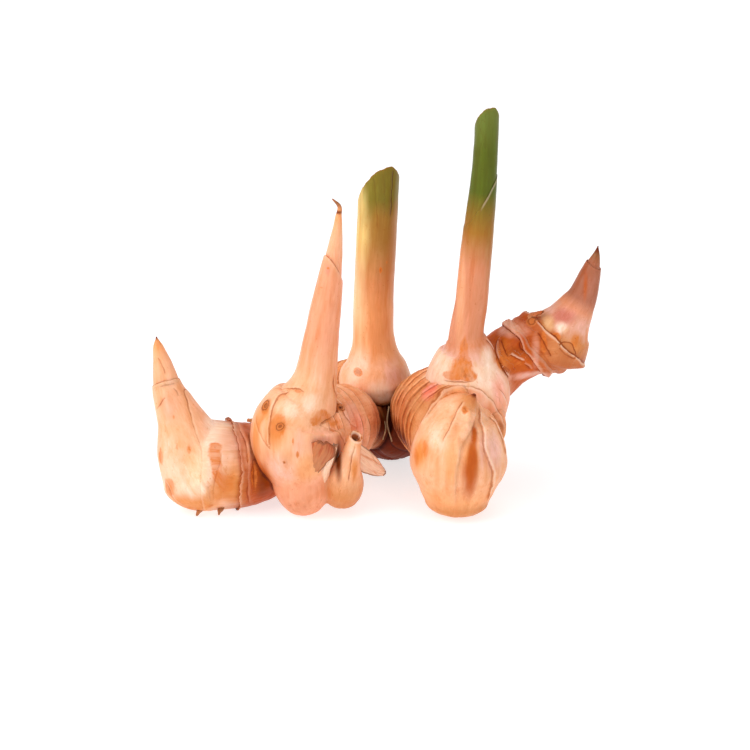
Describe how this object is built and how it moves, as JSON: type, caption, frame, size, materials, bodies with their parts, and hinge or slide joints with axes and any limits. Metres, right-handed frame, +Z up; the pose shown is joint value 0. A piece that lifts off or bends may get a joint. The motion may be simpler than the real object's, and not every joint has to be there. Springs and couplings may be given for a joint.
{
  "type": "galangal root",
  "caption": "Knobbly fresh galangal root with ringed lobes, pointed shoots, obliquely cut leaf stems and a raised side branch; it lies on the undersides of its lobes.",
  "frame": {"origin": "on the plane the root rests on, below the middle of its bounding box", "axes": "+X along the root's length, towards the raised side branch; +Y from the front lobes to the rear knot; +Z up"},
  "size_m": [0.1811, 0.1062, 0.1637],
  "materials": {
    "skin": "satin",
    "sheath": "satin",
    "tip": "matte",
    "green": "satin",
    "scale": "matte",
    "root": "matte"
  },
  "bodies": {
    "root": {"rhizome": "skin", "left_shoot_sheath": "sheath", "left_shoot_spear": "tip", "centre_shoot_sheath": "sheath", "centre_shoot_spear": "tip", "middle_stem": "sheath", "tall_stem_sheath": "sheath", "tall_stem": "green", "right_shoot_sheath": "sheath", "right_shoot_spear": "tip", "front_bud": "sheath", "small_bud": "tip", "front_bud_scale_left": "scale", "front_bud_scale_right": "scale", "left_collar_scale": "scale", "right_branch_collar": "scale", "right_branch_scale": "scale", "small_bud_scale_left": "scale", "small_bud_scale_right": "scale", "branch_papery_curl": "scale", "root_stub_front_a": "root", "root_stub_front_b": "root", "root_stub_back": "root", "root_thread_a": "root", "root_thread_b": "root"}
  },
  "joints": []
}
